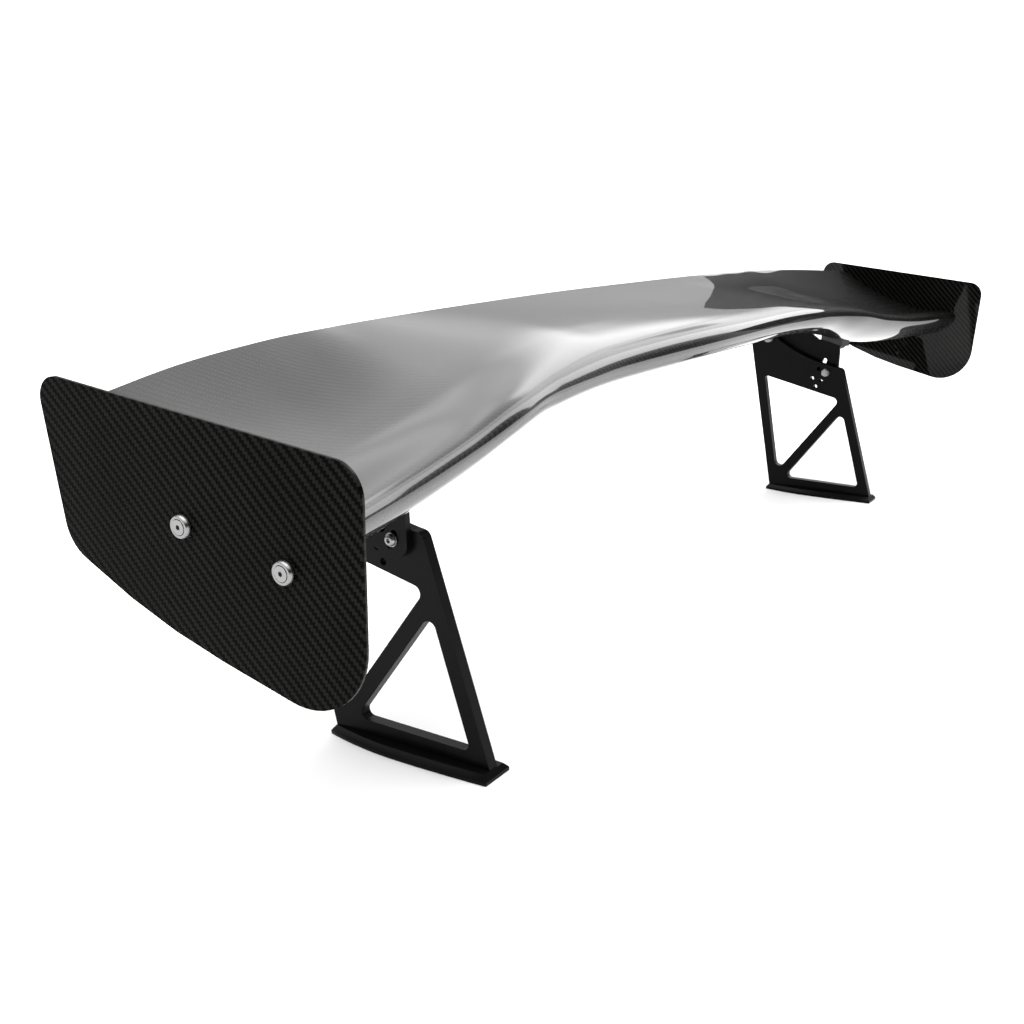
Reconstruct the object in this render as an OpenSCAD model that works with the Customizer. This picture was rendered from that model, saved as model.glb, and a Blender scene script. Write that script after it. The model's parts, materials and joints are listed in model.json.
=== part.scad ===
// Racing rear wing: an adjustable aerofoil with end plates on two pedestals.
// Millimetres. X runs along the span, -Y is the front, +Z is up, z = 0 is the deck.

/* [Overall] */
// width across the outer faces of the end plates
span = 1550; // [1250:10:1900]
// distance between the pedestal centre planes
pedestal_spacing = 1071; // [880:1:1290]

/* [Aerofoil, seven sections from the middle to the end plates] */
// where the sections lie, part of the half span
section_at = [0, 0.3, 0.5, 0.6, 0.7, 0.85, 1]; // increasing from 0 to 1
// y of the front edge
front_y = [-53, -51, -63.5, -77.5, -87.5, -107, -136]; // [-160:0.5:-40]
// z of the front edge
front_z = [306, 304, 301.5, 296.5, 285.5, 275, 273.5]; // [265:0.5:320]
// chord, from front edge to rear edge
chords = [230.2, 214, 210.3, 217.7, 221.6, 217.7, 204.8]; // [190:0.1:250]
// angle of the chord, rear edge up
chord_angles = [10.8, 12.4, 13.5, 14.2, 16.5, 18.5, 18.2]; // [8:0.1:22]
// camber of the middle section, part of the chord
camber_centre = 0.046; // [0.03:0.002:0.08]
// camber of the end section, part of the chord
camber_tip = 0.168; // [0.14:0.002:0.18]
// thickness of the middle section, part of the chord
thickness_centre = 0.159; // [0.13:0.001:0.2]
// thickness of the end section, part of the chord
thickness_tip = 0.145; // [0.13:0.001:0.18]
// thickness of one moulded skin
skin_t = 1.2; // [0.8:0.1:1.6]
// blunt rear edge, top to bottom
rear_edge_t = 2.6; // [1.6:0.1:4]

/* [End plates] */
// thickness of an end plate
plate_t = 3; // [2:0.1:5]
// y of the front edge at the top
plate_front_top_y = -174.3; // [-190:0.1:-160]
// z of the front edge at the top
plate_front_top_z = 324.3; // [310:0.1:345]
// y of the front edge at the bottom
plate_front_low_y = -167.4; // [-185:0.1:-150]
// z of the front edge at the bottom
plate_front_low_z = 155; // [140:0.1:170]
// y of the middle of the curved lower edge
plate_belly_y = 13; // [0:0.1:26]
// z of the middle of the curved lower edge
plate_belly_z = 199; // [192:0.1:206]
// y of the rear edge at the bottom
plate_rear_low_y = 88.5; // [80:0.1:105]
// z of the rear edge at the bottom
plate_rear_low_z = 239.9; // [228:0.1:252]
// y of the rear edge at the top
plate_rear_top_y = 98.5; // [88:0.1:115]
// z of the rear edge at the top
plate_rear_top_z = 354.6; // [345:0.1:375]
// front fastener of an end plate, part of the chord from the front edge
tip_front_at = 0.084; // [0.08:0.001:0.12]
// front fastener's distance below the camber line
tip_front_drop = 11.7; // [4:0.1:12]
// rear fastener of an end plate, part of the chord from the front edge
tip_rear_at = 0.499; // [0.35:0.001:0.52]
// rear fastener's distance below the camber line
tip_rear_drop = 5.3; // [0:0.1:6]

/* [Pedestals] */
// thickness of the pedestal web
web_t = 11; // [9:0.5:13.5]
// y of the web's front edge at the foot
web_front_y = -90; // [-90:0.5:-84]
// y of the web's rear edge at the foot
web_rear_y = 79.2; // [74:0.1:80]
// height of the foot flange
foot_h = 8; // [6:0.1:10]
// height of the upright part of the foot's edge
foot_edge_h = 3.2; // [2:0.1:5]
// half width of the foot at its widest
foot_half_w = 20.6; // [18:0.1:26]
// half width of the foot at its front end
foot_front_half_w = 17.5; // [14:0.1:17.5]
// half width of the foot at its rear end
foot_rear_half_w = 10.2; // [9:0.1:16]
// y of the foot's front end
foot_front_y = -94; // [-112:1:-92]
// y of the foot's rear end
foot_rear_y = 83; // [82:1:100]
// distance between the tapped holes under a foot
foot_hole_pitch = 62; // [50:1:70]
// y of the middle tapped hole
foot_hole_y = -8; // [-14:0.5:4]
// radius of the tapped holes under a foot, drilled for M6
foot_hole_r = 2.5; // [2.1:0.1:2.6]
// depth of the tapped holes under a foot
foot_hole_depth = 16; // [10:1:19]

/* [Hinge and brackets] */
// y of the wing's pivot axis
pivot_y = 97.5; // [92:0.1:101]
// z of the wing's pivot axis
pivot_z = 247.4; // [240:0.1:252]
// distance from the pivot to the outer row of holes
outer_row_r = 110.4; // [108:0.1:113]
// distance from the outer row to the inner row
row_gap = 12.8; // [12:0.1:14]
// angle of the clamped hole below the horizontal through the pivot
clamp_angle = 26.4; // [25:0.1:28]
// angle between the holes of the outer row
hole_step = 7.3; // [6.8:0.1:8]
// travel of the bracket on its clamp bolt, each way
trim_angle = 3; // [1:0.1:3.2]
// thickness of a bracket plate
bracket_t = 6; // [5:0.1:8]
// radius of the bracket's lug and boss
lug_r = 16.3; // [14:0.1:17]
// gap between a bracket and its pedestal
side_gap = 0.3; // [0.3:0.05:0.5]
// length of a bracket tab along the chord
tab_len = 34; // [30:1:41]
// width of a bracket tab along the span
tab_w = 28; // [24:0.5:34]
// thickness of a bracket tab
tab_t = 5; // [4:0.1:6]
// thickness of the bonded pads under the aerofoil
pad_t = 6; // [5:0.1:8]

/* [Hidden] */
$fn = 64;
cut = 1;
arc_step = 6;

// positions along the span
end_gap = 0.2;
half_in = span / 2 - plate_t - end_gap;
ped_x = pedestal_spacing / 2;
bracket_x = ped_x + web_t / 2 + side_gap;
tab_x = bracket_x + tab_w / 2;

// aerofoil
bond = 0.05;
glue_t = 0.4;
nose_fill = 1.55;
camber_at = 0.353;
camber_change = 0.5;
span_steps = 80;
chord_steps = 26;
last = len(section_at) - 1;
stations = [for (i = [0 : last]) [
    front_y[i], front_z[i],
    front_y[i] + chords[i] * cos(chord_angles[i]), front_z[i] + chords[i] * sin(chord_angles[i])
]];

// inner structure; the _at, _from and _to values are parts of the chord
front_web_at = 0.18;
rear_web_at = 0.84;
web_part = 0.012;
block_from = 0.205;
block_to = 0.825;
front_tab_at = 0.335;
rear_tab_at = 0.70;
block_w = max(50, tab_w + 22);
pad_edge = 1;
relief_drop = pad_t + 1;
rib_w = 18;
rib_wall = 4;
rib_gap = 0.5;
rib_from = 0.02;
rib_to = 0.95;

// bolts and screws: r is the radius, clear the hole it passes through, thread the hole it screws into
m5_r = 2.5;
m5_clear = 2.75;
m5_thread = 2.55;
m6_r = 3;
m6_clear = 3.3;
m6_thread = 3.05;
m8_r = 4;
m8_fit = 4.05;
insert_r = 4;
insert_len = 8;
tip_insert_depth = 1;
insert_start = pad_t + skin_t + 2;
screw_pitch = 16;
screw_reach = insert_start + insert_len - 1;
tip_screw_len = end_gap + plate_t + tip_insert_depth + insert_len - 1;

// cup washers and screws of the end plates
washer_r = 8.25;
washer_h = 3.8;
washer_edge_h = 1.6;
seat_r = 5.1;
seat_gap = 0.1;

// holes of the clamp
inner_row_r = outer_row_r - row_gap;
inner_row_steps = [0.08, 1.56];
inner_slot_step = -0.62;
pivot = [pivot_y, pivot_z];

// bolts of the pedestals
clamp_washer_t = 1;
clamp_washer_r = 6;
clamp_nut_h = 5;
clamp_nut_w = 10;
pivot_washer_t = 1.6;
pivot_washer_r = 8;
pivot_nut_h = 6.5;
pivot_nut_w = 13;

// outer face of the bracket plate, measured from the web's inner face, with a gap for the washer
head_at = web_t + side_gap + bracket_t + side_gap;

function smooth(t) = let (u = min(max(t, 0), 1)) u * u * (3 - 2 * u);
function blend(a, b, k) = a + (b - a) * smooth((k - section_at[1]) / camber_change);

// edges of the section at part k of the half span, by a smooth curve through the stations
function bay(k, i = 0) = (i >= last - 1 || k < section_at[i + 1]) ? i : bay(k, i + 1);
function trend(i) =
    i == 0 ? [0, 0, 0, 0] :
    i == last ? (stations[last] - stations[last - 1]) / (section_at[last] - section_at[last - 1]) :
    (stations[i + 1] - stations[i - 1]) / (section_at[i + 1] - section_at[i - 1]);
function station(k) =
    let (i = bay(k), h = section_at[i + 1] - section_at[i], t = (k - section_at[i]) / h)
    (2 * t * t * t - 3 * t * t + 1) * stations[i]
    + (t * t * t - 2 * t * t + t) * h * trend(i)
    + (3 * t * t - 2 * t * t * t) * stations[i + 1]
    + (t * t * t - t * t) * h * trend(i + 1);

// aerofoil section: camber line, its slope and half thickness at part s of the chord
function camber(s, m) =
    s < camber_at ? m / pow(camber_at, 2) * (2 * camber_at * s - s * s) :
    m / pow(1 - camber_at, 2) * (1 - 2 * camber_at + 2 * camber_at * s - s * s);
function camber_slope(s, m) =
    s < camber_at ? 2 * m / pow(camber_at, 2) * (camber_at - s) :
    2 * m / pow(1 - camber_at, 2) * (camber_at - s);
function half_thick(s, t, c) =
    5 * t * (nose_fill * 0.2969 * sqrt(s) - (0.1260 + (nose_fill - 1) * 0.2969) * s
    - 0.3516 * pow(s, 2) + 0.2843 * pow(s, 3) - 0.1036 * pow(s, 4))
    + rear_edge_t / 2 / c * s;

// point of the section: side 1 is the top, -1 the underside, 0 the camber line;
// inset is measured inwards, and the half thickness is never under least
function foil(x, s, side, inset = 0, least = 0) =
    let (
        k = abs(x) / half_in,
        st = station(k),
        dy = st[2] - st[0],
        dz = st[3] - st[1],
        c = norm([dy, dz]),
        m = blend(camber_centre, camber_tip, k),
        t = blend(thickness_centre, thickness_tip, k),
        h = max(half_thick(s, t, c) - inset / c, least / c),
        a = atan(camber_slope(s, m)),
        u = s + side * h * sin(a),
        w = -camber(s, m) + side * h * cos(a)
    )
    [x, st[0] + u * dy - w * dz, st[1] + u * dz + w * dy];

function chord(x) =
    let (st = station(abs(x) / half_in)) norm([st[2] - st[0], st[3] - st[1]]);

function backwards(v) = [for (j = [len(v) - 1 : -1 : 0]) v[j]];

// steps from 0 to 1, close together at both ends
function ease(j, n) = (1 - cos(180 * j / n)) / 2;

// solid through a row of loops; a loop goes out along one side and back along the other
module loft(rows) {
    n = len(rows[0]);
    m = len(rows);
    sides = [
        for (i = [0 : m - 2], j = [0 : n - 1])
            let (a = i * n + j, b = i * n + (j + 1) % n)
            each [[a, b, b + n], [a, b + n, a + n]]
    ];
    caps = [
        for (j = [0 : n / 2 - 2])
            let (p = j, q = j + 1, r = n - 2 - j, s = n - 1 - j, e = (m - 1) * n)
            each [[p, r, q], [p, s, r], [e + p, e + q, e + r], [e + p, e + r, e + s]]
    ];
    polyhedron(points = [for (row = rows) each row], faces = concat(sides, caps), convexity = 6);
}

// loop round one skin's wall at x
function skin_row(x, side) =
    let (
        a = skin_t / chord(x),
        outer = [for (j = [0 : chord_steps]) foil(x, ease(j, chord_steps), side)],
        inner = [
            for (j = [0 : chord_steps]) foil(x, a + (1 - a) * ease(j, chord_steps), side, skin_t, bond)
        ]
    )
    side < 0 ? concat(outer, backwards(inner)) : concat(backwards(outer), inner);

// loop round what fills the space between the skins at x, from part a to part b of the chord
function core_row(x, a, b, n) = concat(
    [for (j = [0 : n]) foil(x, a + (b - a) * j / n, -1, skin_t + glue_t)],
    [for (j = [n : -1 : 0]) foil(x, a + (b - a) * j / n, 1, skin_t + glue_t)]);

// filling from x0 to x1
module core(x0, x1, a, b, steps, n) {
    loft([for (i = [0 : steps]) core_row(x0 + (x1 - x0) * i / steps, a, b, n)]);
}

// underside point and slope at a tab
function tab_root(at) = foil(tab_x, at, -1);
function tab_slope(at) =
    let (
        reach = screw_pitch / 2 / chord(tab_x),
        p = foil(tab_x, at - reach, -1),
        q = foil(tab_x, at + reach, -1)
    )
    atan2(q[2] - p[2], q[1] - p[1]);

// point of a tab: along its top face from its middle, and out below that face
function tab_point(at, along, out) =
    let (r = tab_root(at), a = tab_slope(at))
    [r[1] + along * cos(a) + (pad_t + out) * sin(a), r[2] + along * sin(a) - (pad_t + out) * cos(a)];

// places children at each tab screw, z pointing up into the aerofoil from the tab's top face
module at_tab_screws() {
    for (at = [front_tab_at, rear_tab_at], along = [-screw_pitch / 2, screw_pitch / 2]) {
        p = tab_point(at, along, 0);
        translate([tab_x, p[0], p[1]]) rotate([tab_slope(at), 0, 0]) children();
    }
}

// y, z of an end plate screw at part s of the end section's chord, below its camber line
function tip_screw_point(s, drop) =
    let (p = foil(half_in, s, 0), a = chord_angles[last])
    [p[1] + drop * sin(a), p[2] - drop * cos(a)];
tip_screw_points = [
    tip_screw_point(tip_front_at, tip_front_drop),
    tip_screw_point(tip_rear_at, tip_rear_drop)
];

// places children at each end plate screw, z pointing outwards from the rib's end face
module at_tip_screws() {
    for (p = tip_screw_points)
        translate([half_in, p[0], p[1]]) rotate([0, 90, 0]) children();
}

module right() { children(); }
module left() { mirror([1, 0, 0]) children(); }

// points of an arc about c, leaving out the first and last skip of its n + 1 points
function arc(c, r, a0, a1, n, skip = 0) = [
    for (i = [skip : n - skip])
        let (a = a0 + (a1 - a0) * i / n) [c[0] + r * cos(a), c[1] + r * sin(a)]
];

// rounded outline: each corner is [y, z, radius], given clockwise or anticlockwise
function toward(p, q) = let (d = [q[0] - p[0], q[1] - p[1]]) d / norm(d);
function corner_arc(p, c, q) =
    let (
        u = toward(c, p),
        v = toward(c, q),
        half = acos(u * v) / 2,
        mid = (u + v) / norm(u + v),
        o = [c[0], c[1]] + mid * c[2] / sin(half),
        start = [c[0], c[1]] + u * c[2] / tan(half) - o,
        a0 = atan2(start[1], start[0]),
        turn = (u[0] * v[1] - u[1] * v[0] > 0 ? -1 : 1) * (180 - 2 * half)
    )
    arc(o, c[2], a0, a0 + turn, ceil(turn * sign(turn) / arc_step));
function rounded(cs) = [
    for (i = [0 : len(cs) - 1])
        each corner_arc(cs[(i + len(cs) - 1) % len(cs)], cs[i], cs[(i + 1) % len(cs)])
];

// lays a drawing made in y, z on a plane of constant x
module upright(x, t) {
    translate([x, 0, 0]) rotate([90, 0, 90]) linear_extrude(height = t) children();
}

// row of holes: position on a circle about the pivot
function row_point(r, a) = pivot - r * [cos(a), sin(a)];
clamp_point = row_point(outer_row_r, clamp_angle);

// ---- aerofoil ----

module skin(side) {
    loft([for (i = [0 : span_steps]) skin_row(half_in * (2 * i / span_steps - 1), side)]);
}

module upper_skin() {
    color([0.12, 0.12, 0.13]) skin(1);
}

module lower_skin() {
    color([0.10, 0.10, 0.11]) difference() {
        skin(-1);
        right() at_tab_screws() cylinder(h = screw_reach, r = m5_clear);
        left() at_tab_screws() cylinder(h = screw_reach, r = m5_clear);
    }
}

// upright wall along the span, between the ribs
module spar(at) {
    end = half_in - rib_w - rib_gap;
    core(-end, end, at, at + web_part, 60, 1);
}

module front_spar() {
    color([0.16, 0.16, 0.17]) spar(front_web_at);
}

module rear_spar() {
    color([0.16, 0.16, 0.17]) spar(rear_web_at);
}

module tip_rib() {
    difference() {
        core(half_in - rib_w, half_in, rib_from, rib_to, 2, 16);
        at_tip_screws() translate([0, 0, -tip_insert_depth - insert_len])
            cylinder(h = tip_insert_depth + insert_len + cut, r = insert_r + bond);
        at_tip_screws() translate([0, 0, -rib_w + rib_wall]) cylinder(h = rib_w, r = m5_clear);
    }
}

module tip_rib_left() {
    color([0.62, 0.52, 0.36]) left() tip_rib();
}

module tip_rib_right() {
    color([0.62, 0.52, 0.36]) right() tip_rib();
}

// plain ring from z = 0 up, used for inserts and washers
module ring(h, outer, inner) {
    difference() {
        cylinder(h = h, r = outer);
        translate([0, 0, -cut]) cylinder(h = h + 2 * cut, r = inner);
    }
}

module insert() {
    ring(insert_len, insert_r, m5_thread);
}

module tip_inserts() {
    color([0.78, 0.62, 0.30]) {
        right() at_tip_screws() translate([0, 0, -tip_insert_depth - insert_len]) insert();
        left() at_tip_screws() translate([0, 0, -tip_insert_depth - insert_len]) insert();
    }
}

module hardpoint() {
    difference() {
        core(tab_x - block_w / 2, tab_x + block_w / 2, block_from, block_to, 4, 16);
        at_tab_screws() cylinder(h = insert_start + insert_len + bond, r = insert_r + bond);
    }
}

module hardpoint_left() {
    color([0.45, 0.30, 0.18]) left() hardpoint();
}

module hardpoint_right() {
    color([0.45, 0.30, 0.18]) right() hardpoint();
}

module hardpoint_inserts() {
    color([0.78, 0.62, 0.30]) {
        right() at_tab_screws() translate([0, 0, insert_start]) insert();
        left() at_tab_screws() translate([0, 0, insert_start]) insert();
    }
}

// pad between a tab's flat top and the curved underside
module pad(at) {
    x0 = tab_x - tab_w / 2 + pad_edge;
    x1 = tab_x + tab_w / 2 - pad_edge;
    reach = (tab_len / 2 - 2 * pad_edge) / chord(tab_x);
    base = tab_point(at, 0, -bond);
    rise = tan(tab_slope(at));
    difference() {
        loft([
            for (i = [0 : 4])
                let (x = x0 + (x1 - x0) * i / 4,
                    top = [for (j = [0 : 6]) foil(x, at - reach + 2 * reach * j / 6, -1, -bond)])
                concat([for (p = top) [x, p[1], base[1] + (p[1] - base[0]) * rise]],
                    [for (j = [6 : -1 : 0]) top[j]])
        ]);
        at_tab_screws() translate([0, 0, -cut]) cylinder(h = screw_reach, r = m5_clear);
    }
}

module pad_pair() {
    pad(front_tab_at);
    pad(rear_tab_at);
}

module pads_left() {
    color([0.20, 0.20, 0.21]) left() pad_pair();
}

module pads_right() {
    color([0.20, 0.20, 0.21]) right() pad_pair();
}

// ---- end plates ----

module end_plate() {
    outline = rounded([
        [plate_front_top_y, plate_front_top_z, 21],
        [plate_front_low_y, plate_front_low_z, 50],
        [plate_belly_y, plate_belly_z, 500],
        [plate_rear_low_y, plate_rear_low_z, 28],
        [plate_rear_top_y, plate_rear_top_z, 17]
    ]);
    upright(span / 2 - plate_t, plate_t) difference() {
        polygon(outline);
        for (p = tip_screw_points) translate(p) circle(r = m5_clear);
    }
}

module end_plate_left() {
    color([0.07, 0.07, 0.07]) left() end_plate();
}

module end_plate_right() {
    color([0.07, 0.07, 0.07]) right() end_plate();
}

// cup washer with a cone seat, its flat side on the end plate
module cup_washer() {
    bevel = 0.3;
    seat_top = washer_h - bevel;
    rotate_extrude() polygon([
        [m5_clear, 0], [washer_r, 0], [washer_r, washer_edge_h], [washer_r - 1, washer_h - bevel],
        [washer_r - 1 - bevel, washer_h], [seat_r + bevel, washer_h], [seat_r, seat_top],
        [m5_clear, seat_top - (seat_r - m5_clear)]
    ]);
}

// countersunk screw with a hexagon socket, its head in the cup washer and its tip below z = 0
module tip_screw() {
    rim = 0.3;
    head_r = seat_r - seat_gap;
    seat_top = washer_h - rim;
    difference() {
        rotate_extrude() polygon([
            [0, -tip_screw_len], [m5_r, -tip_screw_len], [m5_r, seat_top - (head_r - m5_r)],
            [head_r, seat_top], [head_r - seat_gap, washer_h + rim], [0, washer_h + rim]
        ]);
        translate([0, 0, washer_h - 2]) cylinder(h = 2 + cut, r = 1.75, $fn = 6);
    }
}

module tip_washers() {
    color([0.80, 0.80, 0.81]) {
        right() at_tip_screws() translate([0, 0, end_gap + plate_t]) cup_washer();
        left() at_tip_screws() translate([0, 0, end_gap + plate_t]) cup_washer();
    }
}

module tip_screws() {
    color([0.72, 0.72, 0.74]) {
        right() at_tip_screws() translate([0, 0, end_gap + plate_t]) tip_screw();
        left() at_tip_screws() translate([0, 0, end_gap + plate_t]) tip_screw();
    }
}

// ---- brackets, fixed to the aerofoil ----

// outline of an arc slot about the pivot, centred on angle a, for a bolt of clearance radius w
function arc_slot(r, a, w) =
    let (low = a - trim_angle, high = a + trim_angle)
    concat(
        arc(pivot, r + w, 180 + low, 180 + high, 12),
        arc(row_point(r, high), w, 180 + high, 360 + high, 16, 1),
        arc(pivot, r - w, 180 + high, 180 + low, 12),
        arc(row_point(r, low), w, low, 180 + low, 16, 1)
    );

// plate from the lug round the clamp bolt to the boss round the pivot, then up to the two tabs;
// its upper edge is hollowed between the tabs
module bracket_outline() {
    below = clamp_angle - 90;
    lug_front = 197;
    relief_at = (front_tab_at + rear_tab_at) / 2;
    relief = foil(bracket_x, relief_at, -1);
    polygon(concat(
        arc(clamp_point, lug_r, lug_front, 360 + below, 20),
        arc(pivot, lug_r, below, 0, 14),
        [
            tab_point(rear_tab_at, tab_len / 2, tab_t),
            tab_point(rear_tab_at, tab_len / 2, 0),
            tab_point(rear_tab_at, -tab_len / 2, 0),
            tab_point(rear_tab_at, -tab_len / 2 - 2, 2),
            [relief[1], relief[2] - relief_drop],
            tab_point(front_tab_at, tab_len / 2 + 2, 2),
            tab_point(front_tab_at, tab_len / 2, 0),
            tab_point(front_tab_at, -tab_len / 2, 0),
            tab_point(front_tab_at, -tab_len / 2, tab_t)
        ]
    ));
}

module bracket() {
    difference() {
        union() {
            upright(bracket_x, bracket_t) difference() {
                bracket_outline();
                polygon(arc_slot(outer_row_r, clamp_angle, m6_clear));
                polygon(arc_slot(inner_row_r, clamp_angle + inner_slot_step * hole_step, m6_clear));
                translate(pivot) circle(r = m8_fit);
            }
            for (at = [front_tab_at, rear_tab_at]) {
                p = tab_point(at, 0, 0);
                translate([bracket_x, p[0], p[1]]) rotate([tab_slope(at), 0, 0])
                    translate([0, -tab_len / 2, -tab_t]) cube([tab_w, tab_len, tab_t]);
            }
        }
        at_tab_screws() translate([0, 0, -tab_t - cut]) cylinder(h = tab_t + 2 * cut, r = m5_clear);
    }
}

module bracket_left() {
    color([0.10, 0.10, 0.11]) left() bracket();
}

module bracket_right() {
    color([0.10, 0.10, 0.11]) right() bracket();
}

// button head screw pointing up, its head's flat side at z = 0
module button_screw(r, head_r, head_h, reach, key_r) {
    difference() {
        rotate_extrude() polygon([
            [0, reach], [r, reach], [r, 0], [head_r, 0], [head_r, -head_h * 0.3],
            [head_r * 0.9, -head_h * 0.65], [head_r * 0.72, -head_h * 0.9], [head_r * 0.5, -head_h],
            [0, -head_h]
        ]);
        translate([0, 0, -head_h - cut]) cylinder(h = head_h * 0.6 + cut, r = key_r, $fn = 6);
    }
}

module tab_screw() {
    translate([0, 0, -tab_t]) button_screw(m5_r, 4.75, 2.75, screw_reach + tab_t, 1.73);
}

module bracket_screws() {
    color([0.30, 0.30, 0.32]) {
        right() at_tab_screws() tab_screw();
        left() at_tab_screws() tab_screw();
    }
}

// ---- pedestals ----

// disc with a chamfered upper edge; the foot's long sides are arcs of such discs
module foot_disc(r) {
    chamfer = foot_h - foot_edge_h;
    cylinder(h = foot_edge_h, r = r, $fn = 720);
    translate([0, 0, foot_edge_h]) cylinder(h = chamfer, r1 = r, r2 = r - chamfer, $fn = 720);
}

// radius of the arc that narrows the foot to half_w at y
function side_r(y, half_w) = (y * y + pow(foot_half_w - half_w, 2)) / (2 * (foot_half_w - half_w));

// one half of the foot, from y0 to y1
module foot_part(r, y0, y1) {
    intersection() {
        translate([foot_half_w - r, 0, 0]) foot_disc(r);
        translate([r - foot_half_w, 0, 0]) foot_disc(r);
        translate([-foot_half_w, y0, 0]) cube([2 * foot_half_w, y1 - y0, foot_h]);
    }
}

module foot() {
    end_cut = (foot_h - foot_edge_h) * 0.7;
    intersection() {
        union() {
            foot_part(side_r(foot_front_y, foot_front_half_w), foot_front_y, 0);
            foot_part(side_r(foot_rear_y, foot_rear_half_w), 0, foot_rear_y);
        }
        upright(-foot_half_w, 2 * foot_half_w) polygon([
            [foot_front_y, 0], [foot_rear_y, 0], [foot_rear_y, foot_edge_h],
            [foot_rear_y - end_cut, foot_h], [foot_front_y + end_cut, foot_h], [foot_front_y, foot_edge_h]
        ]);
    }
}

// web with two rounded triangles cut out; its top edge is hollowed under the aerofoil
module web_outline() {
    sunk = foot_h - 1;
    difference() {
        polygon(rounded([
            [web_front_y, sunk, 1], [web_rear_y, sunk, 1],
            [pivot[0] + 35, pivot[1] + 24.6, 10], [pivot[0] + 23.5, pivot[1] + 29.6, 4],
            [pivot[0] - 37.6, pivot[1] - 28.6, 250], [clamp_point[0] - 26.2, clamp_point[1] + 7.3, 8]
        ]));
        polygon(rounded([
            [web_front_y + 19.7, foot_h + 12.6, 6], [web_rear_y - 24.1, foot_h + 14, 6.3],
            [clamp_point[0] - 32.2, clamp_point[1] - 59.1, 7.3]
        ]));
        polygon(rounded([
            [web_rear_y - 10, foot_h + 20.7, 8.7], [pivot[0] + 2.7, pivot[1] - 60.1, 4],
            [clamp_point[0] - 27.1, clamp_point[1] - 40.8, 7.2]
        ]));
    }
}

// hole through the web at point p
module web_hole(p, r) {
    translate([-web_t / 2 - cut, p[0], p[1]]) rotate([0, 90, 0]) cylinder(h = web_t + 2 * cut, r = r);
}

module pedestal() {
    translate([ped_x, 0, 0]) difference() {
        union() {
            upright(-web_t / 2, web_t) web_outline();
            foot();
        }
        for (i = [-1 : 1])
            translate([0, foot_hole_y + i * foot_hole_pitch, -cut])
                cylinder(h = foot_hole_depth + cut, r = foot_hole_r);
        for (i = [0 : 2]) web_hole(row_point(outer_row_r, clamp_angle + i * hole_step), m6_clear);
        for (i = inner_row_steps) web_hole(row_point(inner_row_r, clamp_angle + i * hole_step), m6_clear);
        web_hole(pivot, m8_fit);
    }
}

module pedestal_left() {
    color([0.09, 0.09, 0.09]) left() pedestal();
}

module pedestal_right() {
    color([0.09, 0.09, 0.09]) right() pedestal();
}

// ---- bolts of the pedestals ----

// places children at point p of the web, z pointing outboard from the web's inner face
module on_web(p) {
    translate([ped_x - web_t / 2, p[0], p[1]]) rotate([0, 90, 0]) children();
}

module hex_nut(h, across, inner) {
    difference() {
        cylinder(h = h, r = across / 2 / cos(30), $fn = 6);
        translate([0, 0, -cut]) cylinder(h = h + 2 * cut, r = inner);
    }
}

module clamp_bolt() {
    reach = head_at + 2 * clamp_washer_t + clamp_nut_h + 1;
    on_web(clamp_point) translate([0, 0, head_at + clamp_washer_t]) rotate([180, 0, 0])
        button_screw(m6_r, 5.25, 3.3, reach, 2.3);
}

module clamp_bolts() {
    color([0.72, 0.72, 0.74]) {
        right() clamp_bolt();
        left() clamp_bolt();
    }
}

module clamp_washer_pair() {
    on_web(clamp_point) {
        translate([0, 0, head_at]) ring(clamp_washer_t, clamp_washer_r, m6_thread);
        translate([0, 0, -clamp_washer_t]) ring(clamp_washer_t, clamp_washer_r, m6_thread);
    }
}

module clamp_washers() {
    color([0.66, 0.66, 0.68]) {
        right() clamp_washer_pair();
        left() clamp_washer_pair();
    }
}

module clamp_nut() {
    on_web(clamp_point) translate([0, 0, -clamp_washer_t - clamp_nut_h])
        hex_nut(clamp_nut_h, clamp_nut_w, m6_thread);
}

module clamp_nuts() {
    color([0.72, 0.72, 0.74]) {
        right() clamp_nut();
        left() clamp_nut();
    }
}

module pivot_bolt() {
    reach = head_at + 2 * pivot_washer_t + pivot_nut_h + 1.5;
    on_web(pivot) translate([0, 0, head_at + pivot_washer_t]) rotate([180, 0, 0])
        button_screw(m8_r, 7, 4.4, reach, 2.9);
}

module pivot_bolts() {
    color([0.72, 0.72, 0.74]) {
        right() pivot_bolt();
        left() pivot_bolt();
    }
}

module pivot_washer_pair() {
    on_web(pivot) {
        translate([0, 0, head_at]) ring(pivot_washer_t, pivot_washer_r, m8_fit);
        translate([0, 0, -pivot_washer_t]) ring(pivot_washer_t, pivot_washer_r, m8_fit);
    }
}

module pivot_washers() {
    color([0.66, 0.66, 0.68]) {
        right() pivot_washer_pair();
        left() pivot_washer_pair();
    }
}

module pivot_nut() {
    on_web(pivot) translate([0, 0, -pivot_washer_t - pivot_nut_h])
        hex_nut(pivot_nut_h, pivot_nut_w, m8_fit);
}

module pivot_nuts() {
    color([0.72, 0.72, 0.74]) {
        right() pivot_nut();
        left() pivot_nut();
    }
}

upper_skin();
lower_skin();
front_spar();
rear_spar();
tip_rib_left();
tip_rib_right();
tip_inserts();
hardpoint_left();
hardpoint_right();
hardpoint_inserts();
pads_left();
pads_right();
end_plate_left();
end_plate_right();
tip_washers();
tip_screws();
bracket_left();
bracket_right();
bracket_screws();
pedestal_left();
pedestal_right();
clamp_bolts();
clamp_washers();
clamp_nuts();
pivot_bolts();
pivot_washers();
pivot_nuts();
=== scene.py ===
"""Racing rear wing: clear-coated carbon aerofoil, satin carbon end plates, anodised pedestals."""

import json
import math

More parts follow.
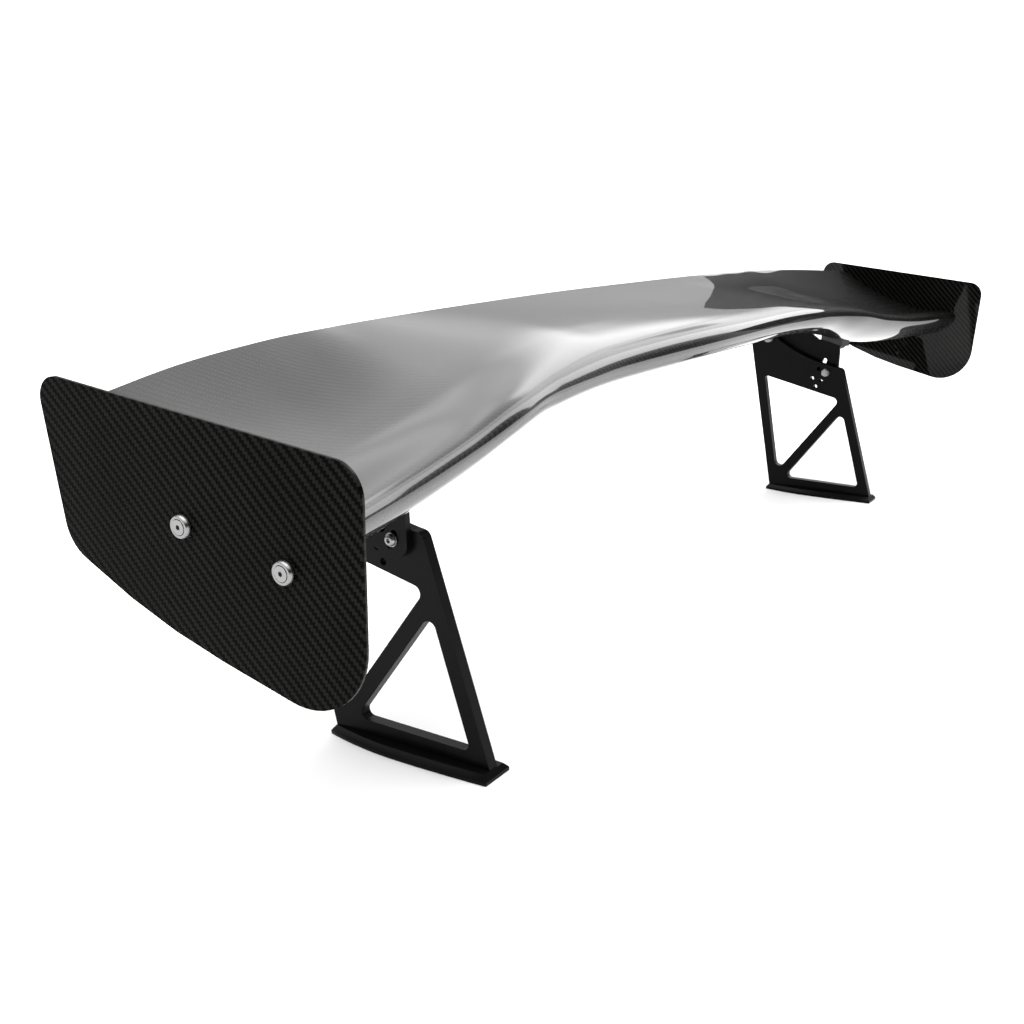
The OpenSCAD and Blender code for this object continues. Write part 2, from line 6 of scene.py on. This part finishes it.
import bmesh
import bpy
import numpy as np
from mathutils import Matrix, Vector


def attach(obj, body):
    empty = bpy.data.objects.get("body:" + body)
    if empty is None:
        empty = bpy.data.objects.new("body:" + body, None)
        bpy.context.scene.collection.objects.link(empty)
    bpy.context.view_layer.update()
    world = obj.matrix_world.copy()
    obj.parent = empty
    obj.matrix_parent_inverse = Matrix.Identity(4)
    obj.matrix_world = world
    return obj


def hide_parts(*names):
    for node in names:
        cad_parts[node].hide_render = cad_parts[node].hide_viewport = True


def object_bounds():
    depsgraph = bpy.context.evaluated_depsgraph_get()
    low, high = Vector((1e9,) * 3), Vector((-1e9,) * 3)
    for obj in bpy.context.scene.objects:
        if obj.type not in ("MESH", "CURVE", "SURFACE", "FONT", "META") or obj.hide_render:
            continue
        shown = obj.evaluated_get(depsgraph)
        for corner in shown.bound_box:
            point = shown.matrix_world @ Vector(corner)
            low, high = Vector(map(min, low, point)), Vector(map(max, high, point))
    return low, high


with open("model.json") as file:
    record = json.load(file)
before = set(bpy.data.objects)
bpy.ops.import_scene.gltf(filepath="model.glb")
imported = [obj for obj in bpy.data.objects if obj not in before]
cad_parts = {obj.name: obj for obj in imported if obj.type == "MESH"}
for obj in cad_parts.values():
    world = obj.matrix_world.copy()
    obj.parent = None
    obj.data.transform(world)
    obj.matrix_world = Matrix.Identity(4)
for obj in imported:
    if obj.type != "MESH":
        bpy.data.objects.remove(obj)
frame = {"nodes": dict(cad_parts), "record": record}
cad_low, cad_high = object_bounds()
nodes = frame["nodes"]


# ---------------------------------------------------------------- node helpers


class Tree:
    """A material's node tree, with short calls for the nodes used here."""

    def __init__(self, name):
        self.material = bpy.data.materials.new(name)
        self.material.use_nodes = True
        self.tree = self.material.node_tree
        self.tree.nodes.clear()
        self.out = self.tree.nodes.new("ShaderNodeOutputMaterial")
        self.surface = self.tree.nodes.new("ShaderNodeBsdfPrincipled")
        self.link(self.surface.outputs[0], self.out.inputs["Surface"])

    def link(self, a, b):
        self.tree.links.new(a, b)

    def feed(self, socket, value):
        if isinstance(value, bpy.types.NodeSocket):
            self.link(value, socket)
        else:
            socket.default_value = value

    def node(self, kind, **settings):
        n = self.tree.nodes.new(kind)
        for key, value in settings.items():
            setattr(n, key, value)
        return n

    def math(self, operation, a, b=0.0, c=0.0, clamp=False):
        n = self.node("ShaderNodeMath", operation=operation, use_clamp=clamp)
        for socket, value in zip(n.inputs, (a, b, c)):
            self.feed(socket, value)
        return n.outputs[0]

    def mix(self, factor, a, b):
        n = self.node("ShaderNodeMix", data_type="RGBA")
        self.feed(n.inputs[0], factor)
        self.feed(n.inputs[6], a)
        self.feed(n.inputs[7], b)
        return n.outputs[2]

    def ramp(self, value, low, high, to_low=0.0, to_high=1.0):
        n = self.node("ShaderNodeMapRange", interpolation_type="SMOOTHSTEP")
        for socket, v in zip(n.inputs, (value, low, high, to_low, to_high)):
            self.feed(socket, v)
        return n.outputs[0]

    def noise(self, vector, scale, detail=2.0, rough=0.5):
        n = self.node("ShaderNodeTexNoise")
        self.feed(n.inputs["Vector"], vector)
        n.inputs["Scale"].default_value = scale
        n.inputs["Detail"].default_value = detail
        n.inputs["Roughness"].default_value = rough
        return n.outputs[0]

    def stretched(self, vector, scale):
        n = self.node("ShaderNodeVectorMath", operation="MULTIPLY")
        self.feed(n.inputs[0], vector)
        n.inputs[1].default_value = scale
        return n.outputs[0]

    def bump(self, height, distance, strength=1.0, normal=None):
        n = self.node("ShaderNodeBump")
        n.inputs["Strength"].default_value = strength
        n.inputs["Distance"].default_value = distance
        self.feed(n.inputs["Height"], height)
        if normal is not None:
            self.link(normal, n.inputs["Normal"])
        return n.outputs[0]

    def place(self):
        """Position on the part, which doesn't change when a body turns."""
        return self.node("ShaderNodeTexCoord").outputs["Object"]

    def set(self, **values):
        for key, value in values.items():
            self.feed(self.surface.inputs[key.replace("_", " ")], value)


class World(Tree):
    """The same calls for the light all round."""

    def __init__(self, name):
        self.world = bpy.data.worlds.new(name)
        self.world.use_nodes = True
        self.tree = self.world.node_tree
        self.tree.nodes.clear()
        self.surface = self.tree.nodes.new("ShaderNodeBackground")
        out = self.tree.nodes.new("ShaderNodeOutputWorld")
        self.link(self.surface.outputs[0], out.inputs["Surface"])


def rgba(r, g=None, b=None):
    return (r, r if g is None else g, r if b is None else b, 1.0)


# how much of a tow's height comes and goes along its float
CROWN = 0.4


def twill(t, u, v, tow):
    """A 2x2 twill of tows this wide.
    Gives 1 where a lengthwise tow is on top, and the height of the weave from 0 to 1."""
    a = t.math("DIVIDE", u, tow)
    b = t.math("DIVIDE", v, tow)
    ai, bi = t.math("FLOOR", a), t.math("FLOOR", b)
    af, bf = t.math("FRACT", a), t.math("FRACT", b)
    step = t.math("FLOORED_MODULO", t.math("SUBTRACT", ai, bi), 4.0)
    over = t.math("LESS_THAN", step, 1.5)
    # how far along its visible float a point is: a float is two tows long
    along_v = t.math("FRACT", t.math("DIVIDE", t.math("SUBTRACT", b, ai), 4.0))
    along_u = t.math("FRACT", t.math("DIVIDE", t.math("SUBTRACT", a, bi), 4.0))

    def hump(part):
        """0 at both ends of the part and 1 in its middle."""
        return t.math("SINE", t.math("MULTIPLY", part, math.pi))

    def tow_height(width_part, float_part):
        """A tow is round across its width and a little higher in the middle of its float."""
        crown = hump(t.math("FRACT", t.math("MULTIPLY", float_part, 2.0)))
        crown = t.math("ADD", t.math("MULTIPLY", crown, CROWN), 1.0 - CROWN)
        return t.math("MULTIPLY", t.math("POWER", hump(width_part), 0.5), crown)

    up = tow_height(af, along_v)
    across = tow_height(bf, along_u)
    height = t.math(
        "ADD",
        t.math("MULTIPLY", over, up),
        t.math("MULTIPLY", t.math("SUBTRACT", 1.0, over), across),
    )
    return over, height


def carbon(
    name, axes, tow, dark, light, rough, level, coat, coat_rough, print_through, lacquered_within=None
):
    """Twill carbon. axes names the two coordinates the tows follow: a UV pair or two of X, Y, Z.
    Only faces nearer the middle of the span than lacquered_within, where given, have the clear coat."""
    t = Tree(name)
    if axes == "UV":
        source = t.node("ShaderNodeTexCoord").outputs["UV"]
    else:
        source = t.place()
    split = t.node("ShaderNodeSeparateXYZ")
    t.link(source, split.inputs[0])
    first, second = ("X", "Y") if axes == "UV" else axes
    place = t.place()
    # the cloth is laid by hand, so its tows wander a little
    drift = t.math("MULTIPLY", t.math("SUBTRACT", t.noise(place, 9.0, 1.0), 0.5), tow * 2.2)
    u = t.math("ADD", split.outputs[first], drift)
    v = t.math("ADD", split.outputs[second], t.math("MULTIPLY", drift, -0.6))
    over, height = twill(t, u, v, tow)
    # fine streaks of the filaments, drawn out where the cloth has its own coordinates
    stretch = (1.0, 0.04, 0.04) if axes == "UV" else (1, 1, 1)
    streaks = t.noise(t.stretched(source, stretch), 2600.0, 1.0)
    fleck = t.noise(place, 900.0, 2.0)
    # painted sheen and painted shade: the lengthwise tows are painted lighter than the crosswise ones, and
    # each tow is painted lighter along its crown and darker at its edges, standing in for how the fibres
    # catch the light; the layout of the weave is the cloth's own
    tone = t.math("ADD", t.math("MULTIPLY", over, 0.62), t.math("MULTIPLY", height, 0.30))
    tone = t.math("ADD", tone, t.math("MULTIPLY", t.math("SUBTRACT", streaks, 0.5), 0.25))
    patch = t.ramp(t.noise(place, 14.0, 3.0), 0.3, 0.7, 0.82, 1.12)
    tone = t.math("MULTIPLY", t.ramp(tone, 0.18, 0.88), patch, clamp=True)
    t.set(
        Base_Color=t.mix(tone, rgba(*dark), rgba(*light)),
        Roughness=t.ramp(fleck, 0.2, 0.8, rough * 0.85, rough * 1.15),
    )
    s = t.surface.inputs
    s["Specular IOR Level"].default_value = level
    s["IOR"].default_value = 1.5
    s["Coat Weight"].default_value = coat
    if lacquered_within:
        spread = t.node("ShaderNodeSeparateXYZ")
        t.link(place, spread.inputs[0])
        outward = t.math("ABSOLUTE", spread.outputs["X"])
        t.link(t.ramp(outward, lacquered_within, lacquered_within + 0.0004, coat, 0.0), s["Coat Weight"])
    s["Coat Roughness"].default_value = coat_rough
    s["Coat IOR"].default_value = 1.5
    t.link(t.bump(height, tow * 0.05, 0.6), s["Normal"])
    # the clear coat keeps a trace of the weave and a slow waviness from the mould
    wave = t.noise(place, 16.0, 2.0, 0.45)
    t.link(
        t.bump(height, tow * print_through, 1.0, t.bump(wave, 0.00008, 1.0)),
        s["Coat Normal"],
    )
    return t.material


# depth of the marks that machining leaves
MACHINED_DEPTH = 0.00003


def black_anodised(name):
    """Brushed alloy under a thin black finish."""
    t = Tree(name)
    place = t.place()
    fine = t.noise(place, 1400.0, 2.0)
    brushed = t.noise(t.stretched(place, (1.0, 0.06, 1.0)), 700.0, 2.0)
    patch = t.noise(place, 30.0, 3.0)
    tone = t.math("ADD", t.math("MULTIPLY", fine, 0.5), t.math("MULTIPLY", patch, 0.5))
    rough = t.math("ADD", t.math("MULTIPLY", brushed, 0.12), t.math("MULTIPLY", patch, 0.06))
    t.set(
        Base_Color=t.mix(tone, rgba(0.0022), rgba(0.0052, 0.0052, 0.0056)),
        Roughness=t.math("ADD", rough, 0.24),
    )
    s = t.surface.inputs
    s["Specular IOR Level"].default_value = 0.07
    s["IOR"].default_value = 1.5
    t.link(t.bump(brushed, MACHINED_DEPTH, 0.6), s["Normal"])
    return t.material


def metal(name, colour, rough, spread):
    """Turned metal: fine lines round the axis, which runs along the span."""
    t = Tree(name)
    place = t.place()
    fine = t.noise(place, 1800.0, 2.0)
    lines = t.noise(t.stretched(place, (0.05, 1.0, 1.0)), 900.0, 2.0)
    patch = t.noise(place, 60.0, 3.0)
    shade = t.ramp(patch, 0.3, 0.7, 0.86, 1.0)
    low = tuple(c * 0.82 for c in colour)
    t.set(
        Base_Color=t.mix(shade, rgba(*low), rgba(*colour)),
        Roughness=t.math("ADD", t.math("MULTIPLY", lines, spread), rough),
    )
    s = t.surface.inputs
    s["Metallic"].default_value = 1.0
    t.link(t.bump(t.math("ADD", lines, fine), MACHINED_DEPTH, 0.5), s["Normal"])
    return t.material


def plain_grain(name, dark, light, rough, scale, stretch, depth):
    """Wood, resin and bare laminate: streaks between two tones."""
    t = Tree(name)
    place = t.stretched(t.place(), stretch)
    streak = t.noise(place, scale, 4.0, 0.6)
    fine = t.noise(place, scale * 6, 2.0)
    both = t.math("ADD", t.math("MULTIPLY", streak, 0.75), t.math("MULTIPLY", fine, 0.25))
    tone = t.ramp(both, 0.35, 0.65)
    t.set(
        Base_Color=t.mix(tone, rgba(*dark), rgba(*light)),
        Roughness=t.ramp(fine, 0.2, 0.8, rough * 0.85, min(rough * 1.15, 1.0)),
    )
    t.link(t.bump(streak, depth, 0.6), t.surface.inputs["Normal"])
    return t.material


# width of one tow of the cloth
TOW = 0.0021
# between the inner and the outer face of an end plate, along the span
PLATE_INSIDE = 0.7735
looks = {
    "gloss_carbon": carbon(
        "gloss_carbon",
        "UV",
        TOW,
        dark=(0.0002, 0.0002, 0.0002),
        light=(0.0095, 0.0094, 0.0092),
        rough=0.40,
        level=0.06,
        coat=1.0,
        coat_rough=0.01,
        print_through=0.0003,
    ),
    "satin_carbon": carbon(
        "satin_carbon",
        "YZ",
        TOW,
        dark=(0.0001, 0.0001, 0.0001),
        light=(0.0110, 0.0109, 0.0097),
        rough=0.50,
        level=0.02,
        coat=0.3,
        coat_rough=0.03,
        print_through=0.0006,
        lacquered_within=PLATE_INSIDE,
    ),
    "core_laminate": plain_grain(
        "core_laminate", (0.012, 0.012, 0.012), (0.035, 0.035, 0.036), 0.6, 300.0, (0.1, 1.0, 1.0), 0.00004
    ),
    "core_wood": plain_grain(
        "core_wood", (0.30, 0.19, 0.09), (0.52, 0.38, 0.21), 0.7, 120.0, (1.0, 0.08, 1.0), 0.0001
    ),
    "core_block": plain_grain(
        "core_block", (0.16, 0.08, 0.035), (0.24, 0.13, 0.06), 0.55, 200.0, (1.0, 0.2, 1.0), 0.00004
    ),
    "insert_brass": metal("insert_brass", (0.78, 0.60, 0.30), 0.22, 0.15),
    "pad_resin": plain_grain(
        "pad_resin", (0.020, 0.020, 0.021), (0.036, 0.036, 0.037), 0.6, 400.0, (1.0, 1.0, 1.0), 0.00005
    ),
    "polished_steel": metal("polished_steel", (0.25, 0.25, 0.25), 0.18, 0.16),
    "stainless_steel": metal("stainless_steel", (0.27, 0.27, 0.27), 0.22, 0.16),
    "black_anodised": black_anodised("black_anodised"),
    "black_steel": metal("black_steel", (0.05, 0.05, 0.052), 0.35, 0.15),
}
slot_of = {s["node"]: s["material_slot"] for s in frame["record"]["subparts"]}


def dress(obj, look):
    obj.data.materials.clear()
    obj.data.materials.append(looks[look])


# ------------------------------------------------------------------- CAD nodes


SHARP = math.radians(30)


def rounded_edges(obj, width):
    """Breaks a machined piece's sharp edges; its faces stay flat."""
    weld = obj.modifiers.new("weld", "WELD")
    weld.merge_threshold = 0.000004
    bevel = obj.modifiers.new("edges", "BEVEL")
    bevel.width = width
    bevel.segments = 2
    bevel.limit_method = "ANGLE"
    bevel.angle_limit = SHARP
    bevel.use_clamp_overlap = True
    bevel.harden_normals = False


for name, obj in nodes.items():
    dress(obj, slot_of[name])


# ----------------------------------------------------------------------- skins


def welded(obj):
    """The CAD node's own corners, each once, and its triangles."""
    mesh = obj.data
    points = np.array([v.co for v in mesh.vertices], float).reshape(-1, 3)
    keys = np.round(points * 1e6).astype(np.int64)
    unique, first, back = np.unique(keys, axis=0, return_index=True, return_inverse=True)
    back = back.ravel()
    mesh.calc_loop_triangles()
    faces = np.array([t.vertices for t in mesh.loop_triangles], int)
    return points[first], back[faces]


def section_loops(obj):
    """Rows of points round the skin's wall, one row for each section of the CAD loft.
    Each starts at the outer rear edge, runs along the outside to the front, then back along the inside."""
    points, faces = welded(obj)
    xs, counts = np.unique(np.round(points[:, 0] * 1e5).astype(int), return_counts=True)
    rows = xs[counts >= 40]
    row_of = {x: i for i, x in enumerate(rows)}
    on_row = np.array([row_of.get(x, -1) for x in np.round(points[:, 0] * 1e5).astype(int)])
    beside = {}
    for a, b, c in faces:
        if on_row[a] == on_row[b] == on_row[c] >= 0:
            continue
        for p, q in ((a, b), (b, c), (c, a)):
            if on_row[p] == on_row[q] >= 0:
                beside.setdefault(p, set()).add(q)
                beside.setdefault(q, set()).add(p)
    loops = []
    for i in range(len(rows)):
        members = [p for p in np.flatnonzero(on_row == i) if p in beside]
        rear = max(members, key=lambda p: points[p, 1])
        # the wall's end face slopes down and back, the surfaces slope up and back
        def falls(q):
            d = points[q] - points[rear]
            return d[1] * d[2] < 0

        end = next(q for q in beside[rear] if falls(q))
        outer_is_rear = obj.name == "lower_skin"
        start, before = (rear, end) if outer_is_rear else (end, rear)
        loop = [start]
        while True:
            following = [q for q in beside[loop[-1]] if q != before]
            before = loop[-1]
            if following[0] == start or len(loop) > 200:
                break
            loop.append(following[0])
        loops.append(points[loop])
    return np.array(loops)


def finer(p, steps):
    """Cubic through the points along the first axis, steps times as many."""
    ahead = np.concatenate([[3 * p[0] - 3 * p[1] + p[2]], p, [3 * p[-1] - 3 * p[-2] + p[-3]]])
    a, b, c, d = ahead[:-3], ahead[1:-2], ahead[2:-1], ahead[3:]
    out = []
    for i in range(len(b)):
        for k in range(steps):
            t = k / steps
            out.append(
                0.5
                * (
                    2 * b[i]
                    + (c[i] - a[i]) * t
                    + (2 * a[i] - 5 * b[i] + 4 * c[i] - d[i]) * t * t
                    + (3 * b[i] - a[i] - 3 * c[i] + d[i]) * t * t * t
                )
            )
    out.append(p[-1])
    return np.array(out)


def moulded_skin(node, name):
    """The CAD skin as one smooth surface, with the weave's coordinates on it:
    distance along the span and distance along the wall."""
    loops = section_loops(nodes[node])
    half = loops.shape[1] // 2
    outer = finer(finer(loops[:, :half], 3).transpose(1, 0, 2), 3)
    inner = finer(finer(loops[:, half:], 3).transpose(1, 0, 2), 3)
    n, m = outer.shape[0], outer.shape[1]
    points = np.concatenate([outer, inner]).reshape(-1, 3)
    middle = outer[:, m // 2]
    length = np.concatenate([[0], np.cumsum(np.linalg.norm(np.diff(middle, axis=0), axis=1))])
    along = np.concatenate([length, length[::-1]])
    quads = []
    for j in range(2 * n):
        k = (j + 1) % (2 * n)
        for i in range(m - 1):
            quads.append((j * m + i, k * m + i, k * m + i + 1, j * m + i + 1))
    for i in (0, m - 1):
        for j in range(n - 1):
            a, b, c, d = j, j + 1, 2 * n - 2 - j, 2 * n - 1 - j
            q = (a * m + i, b * m + i, c * m + i, d * m + i)
            quads.append(q if i else q[::-1])
    mesh = bpy.data.meshes.new(name)
    mesh.from_pydata(points.tolist(), [], quads)
    mesh.update()
    work = bmesh.new()
    work.from_mesh(mesh)
    bmesh.ops.recalc_face_normals(work, faces=work.faces)
    layer = work.loops.layers.uv.new("weave")
    for face in work.faces:
        face.smooth = True
        for loop in face.loops:
            j, i = divmod(loop.vert.index, m)
            loop[layer].uv = (points[loop.vert.index][0] + 1.0, along[j])
    for edge in work.edges:
        edge.smooth = len(edge.link_faces) == 2 and edge.calc_face_angle(0.0) < SHARP
    work.to_mesh(mesh)
    work.free()
    obj = bpy.data.objects.new(name, mesh)
    bpy.context.scene.collection.objects.link(obj)
    dress(obj, slot_of[node])
    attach(obj, "wing")
    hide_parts(node)
    return obj


moulded_skin("upper_skin", "upper_skin_moulded")
moulded_skin("lower_skin", "lower_skin_moulded")

EDGE_WIDTHS = {
    0.0006: ("pedestal_left", "pedestal_right"),
    0.0005: ("bracket_left", "bracket_right", "end_plate_left", "end_plate_right"),
    0.00012: (
        "tip_washers",
        "tip_screws",
        "clamp_bolts",
        "clamp_nuts",
        "clamp_washers",
        "pivot_bolts",
        "pivot_nuts",
    ),
}
for width, names in EDGE_WIDTHS.items():
    for name in names:
        rounded_edges(nodes[name], width)


# ------------------------------------------------------- floor, light and camera


FLOOR_HALF = 14.0
FLOOR_GAP = 0.0002


def floor():
    """Pale paper just under the feet."""
    work = bmesh.new()
    bmesh.ops.create_grid(work, x_segments=8, y_segments=8, size=FLOOR_HALF)
    mesh = bpy.data.meshes.new("floor")
    work.to_mesh(mesh)
    work.free()
    obj = bpy.data.objects.new("floor", mesh)
    bpy.context.scene.collection.objects.link(obj)
    t = Tree("floor_paper")
    tone = t.noise(t.place(), 4.0, 2.0)
    t.set(Base_Color=t.mix(tone, rgba(0.965), rgba(0.975)), Roughness=0.55)
    t.surface.inputs["Specular IOR Level"].default_value = 0.1
    obj.data.materials.append(t.material)
    obj.location = (0, 0, cad_low.z - FLOOR_GAP)


def flag():
    """A black card beyond the right-hand end, which only the glossy finishes see."""
    x, left, right, bottom, top = 0.95, -0.35, 0.36, 0.33, 0.57
    mesh = bpy.data.meshes.new("flag")
    corners = [(x, left, bottom), (x, right, bottom), (x, right, top - 0.05), (x, left, top)]
    mesh.from_pydata(corners, [], [(0, 1, 2, 3)])
    obj = bpy.data.objects.new("flag", mesh)
    bpy.context.scene.collection.objects.link(obj)
    t = Tree("flag_cloth")
    t.set(Base_Color=t.mix(t.noise(t.place(), 300.0), rgba(0.001), rgba(0.003)), Roughness=0.9)
    obj.data.materials.append(t.material)
    for kind in ("camera", "diffuse", "shadow", "transmission"):
        setattr(obj, "visible_" + kind, False)


def surroundings():
    """A studio laid out by direction: light panels beyond the wing, dark low down on the camera's side.
    Camera rays see the plain white backdrop instead."""
    t = World("studio")
    t.surface.inputs["Color"].default_value = rgba(1.0)
    split = t.node("ShaderNodeSeparateXYZ")
    t.link(t.node("ShaderNodeTexCoord").outputs["Generated"], split.inputs[0])
    # compass angle from the rear of the wing round to its right, and height, both in degrees
    azimuth = t.math("DEGREES", t.math("ARCTAN2", split.outputs["X"], split.outputs["Y"]))
    height = t.math("DEGREES", t.math("ARCSINE", split.outputs["Z"]))

    def card(left, right, low, high, soft):
        """1 inside these angles, with edges this soft."""
        across = t.math(
            "MULTIPLY",
            t.ramp(azimuth, left - soft, left + soft),
            t.ramp(azimuth, right - soft, right + soft, 1.0, 0.0),
        )
        upward = t.math(
            "MULTIPLY",
            t.ramp(height, low - soft, low + soft),
            t.ramp(height, high - soft, high + soft, 1.0, 0.0),
        )
        return t.math("MULTIPLY", across, upward)

    def over(tone, shape, level):
        """tone with this card laid over it."""
        n = t.node("ShaderNodeMix", data_type="FLOAT")
        for i, value in ((0, shape), (2, tone), (3, level)):
            t.feed(n.inputs[i], value)
        return n.outputs[0]

    front = t.ramp(height, 28.0, 48.0, 0.04, 2.2)
    from_middle = t.math("ABSOLUTE", t.math("SUBTRACT", azimuth, 60.0))
    behind = t.ramp(from_middle, 46.0, 60.0, 1.0, 0.0)
    tone = over(front, behind, 0.60)
    # each panel: left, right, low, high, softness, then how bright it is
    rising = t.ramp(height, 11.0, 24.0, 0.58, 1.45)
    stepping = t.ramp(height, 13.0, 20.0, 0.60, 2.6)
    panels = (
        (-20.0, 74.0, 9.0, 60.0, 1.5, rising),
        (61.0, 74.0, 17.0, 32.0, 3.0, 3.0),
        (-20.0, 56.0, 31.0, 60.0, 4.0, 2.2),
        (60.0, 74.0, 35.0, 60.0, 4.0, 1.1),
        (74.0, 88.0, 9.0, 60.0, 1.0, stepping),
        (76.0, 81.0, 22.0, 26.0, 1.2, 1.1),
        (88.0, 106.0, 12.0, 50.0, 1.5, 4.0),
    )
    for *edges, brightness in panels:
        tone = over(tone, card(*edges), brightness)
    tone = over(tone, t.ramp(height, 54.0, 66.0), 4.4)
    # the backdrop itself is plain white paper
    seen = t.node("ShaderNodeLightPath").outputs["Is Camera Ray"]
    t.link(over(tone, seen, 1.1), t.surface.inputs["Strength"])
    bpy.context.scene.world = t.world


def camera():
    """Stands to the left of the nose, a little above the wing, and looks along its span."""
    data = bpy.data.cameras.new("camera")
    data.sensor_width = 36.0
    data.lens = 39.126
    data.shift_x = -0.03704
    data.shift_y = 0.09756
    data.clip_end = 100.0
    obj = bpy.data.objects.new("camera", data)
    obj.location = (-1.21934, -0.56816, 0.46017)
    obj.rotation_euler = (math.radians(69.524), 0.0, math.radians(-58.29))
    bpy.context.scene.collection.objects.link(obj)
    bpy.context.scene.camera = obj


floor()
flag()
surroundings()
camera()
bpy.context.scene.view_settings.view_transform = "Standard"
